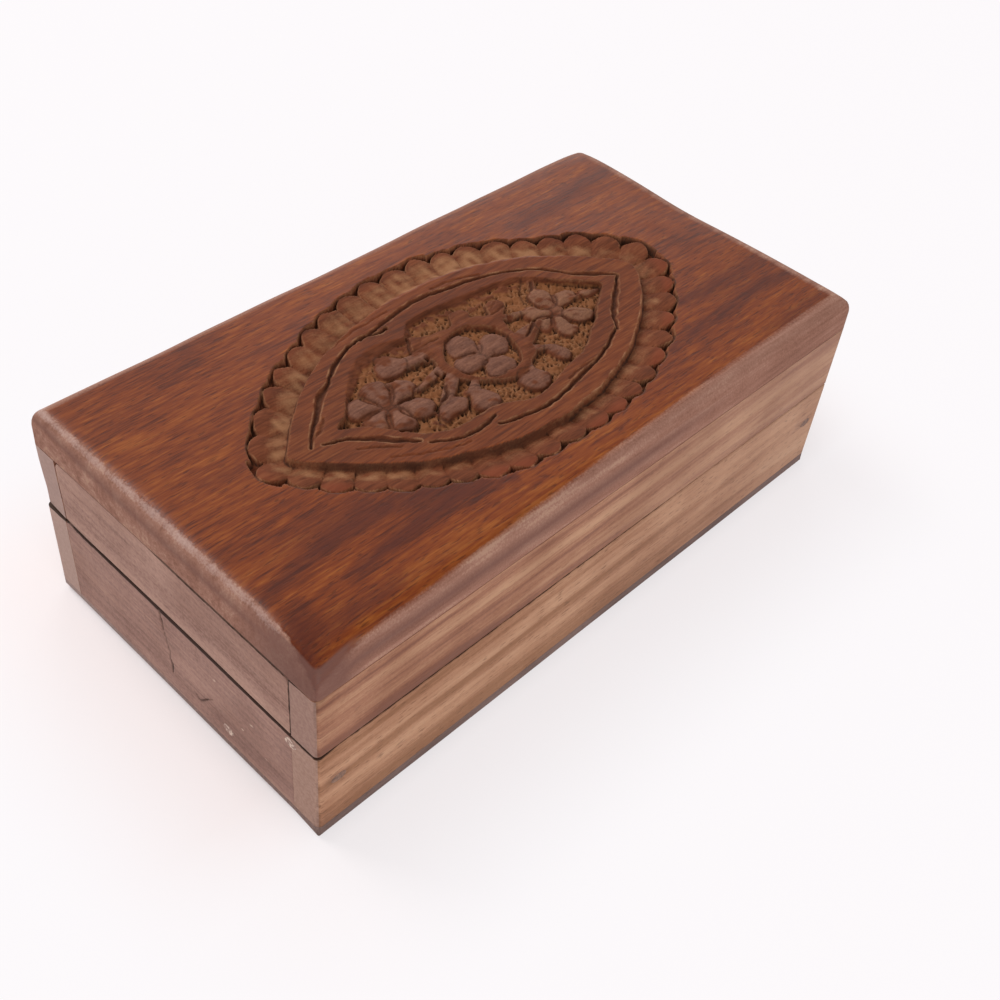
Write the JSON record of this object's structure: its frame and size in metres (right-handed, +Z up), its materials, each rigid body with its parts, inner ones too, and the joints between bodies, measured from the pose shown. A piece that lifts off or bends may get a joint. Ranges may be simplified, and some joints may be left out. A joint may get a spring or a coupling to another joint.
{
  "type": "wooden trinket box",
  "caption": "Rectangular solid-wood keepsake box with a hinged lid of the base's own height and a carved pointed-oval flower medallion on top.",
  "frame": {"origin": "middle of the underside, on the plane that the box stands on, midway between its ends and between its front and back faces", "axes": "+X along the length, +Y from the front to the hinged back, +Z up"},
  "size_m": [0.203, 0.1115, 0.0652],
  "materials": {
    "lid_board_wood": "oiled satin, carved",
    "lid_wall_wood": "satin",
    "lid_end_wood": "satin",
    "base_wall_wood": "satin",
    "base_end_wood": "satin",
    "bottom_board_wood": "matte",
    "dark_filler": "matte",
    "pale_putty": "matte",
    "nail_steel": "dull",
    "hinge_brass": "satin, aged",
    "screw_brass": "satin, aged"
  },
  "bodies": {
    "base": {"base_front_wall": "base_wall_wood", "base_back_wall": "base_wall_wood", "base_left_end": "base_end_wood", "base_right_end": "base_end_wood", "base_bottom_board": "bottom_board_wood", "wall_nails": "nail_steel", "wall_nail_fillings": "dark_filler", "bottom_board_nails": "nail_steel", "left_end_putty": "pale_putty", "left_hinge_base_leaf": "hinge_brass", "left_hinge_pin": "hinge_brass", "left_hinge_base_screws": "screw_brass", "right_hinge_base_leaf": "hinge_brass", "right_hinge_pin": "hinge_brass", "right_hinge_base_screws": "screw_brass"},
    "lid": {"lid_top_board": "lid_board_wood", "lid_front_wall": "lid_wall_wood", "lid_back_wall": "lid_wall_wood", "lid_left_end": "lid_end_wood", "lid_right_end": "lid_end_wood", "left_hinge_lid_leaf": "hinge_brass", "left_hinge_lid_screws": "screw_brass", "right_hinge_lid_leaf": "hinge_brass", "right_hinge_lid_screws": "screw_brass"}
  },
  "joints": [
    {"name": "lid_hinge", "type": "hinge", "parent": "base", "child": "lid", "pos_m": [0, 0.0559, 0.0327], "axis": [-1, 0, 0], "range_deg": [0, 180]}
  ]
}
